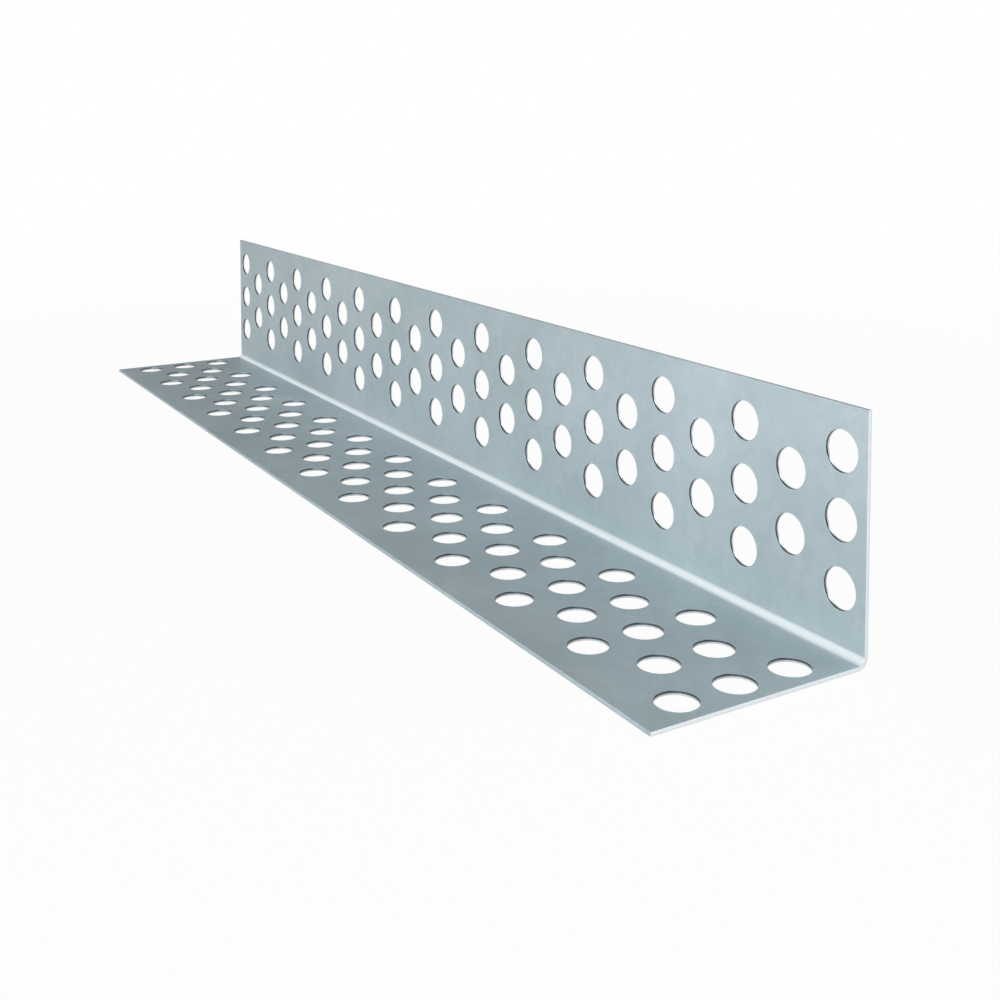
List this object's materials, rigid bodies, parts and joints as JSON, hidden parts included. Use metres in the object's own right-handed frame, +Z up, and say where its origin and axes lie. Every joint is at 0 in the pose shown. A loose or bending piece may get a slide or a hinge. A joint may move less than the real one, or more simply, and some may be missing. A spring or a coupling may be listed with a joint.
{
  "type": "perforated drywall corner bead",
  "caption": "Short length of L-shaped galvanised steel corner bead, punched with staggered round holes, that covers and stiffens an outside drywall corner.",
  "frame": {"origin": "middle of the bead's box at its lowest level, on the surface that the base flange lies on", "axes": "+X along the length, +Y from the base flange's free edge to the standing flange, +Z up along the standing flange"},
  "size_m": [0.206, 0.0306, 0.0295],
  "materials": {
    "galvanised_steel": "smooth bright galvanised, cool grey, satin"
  },
  "bodies": {
    "root": {"corner_bead": "galvanised_steel"}
  },
  "joints": []
}
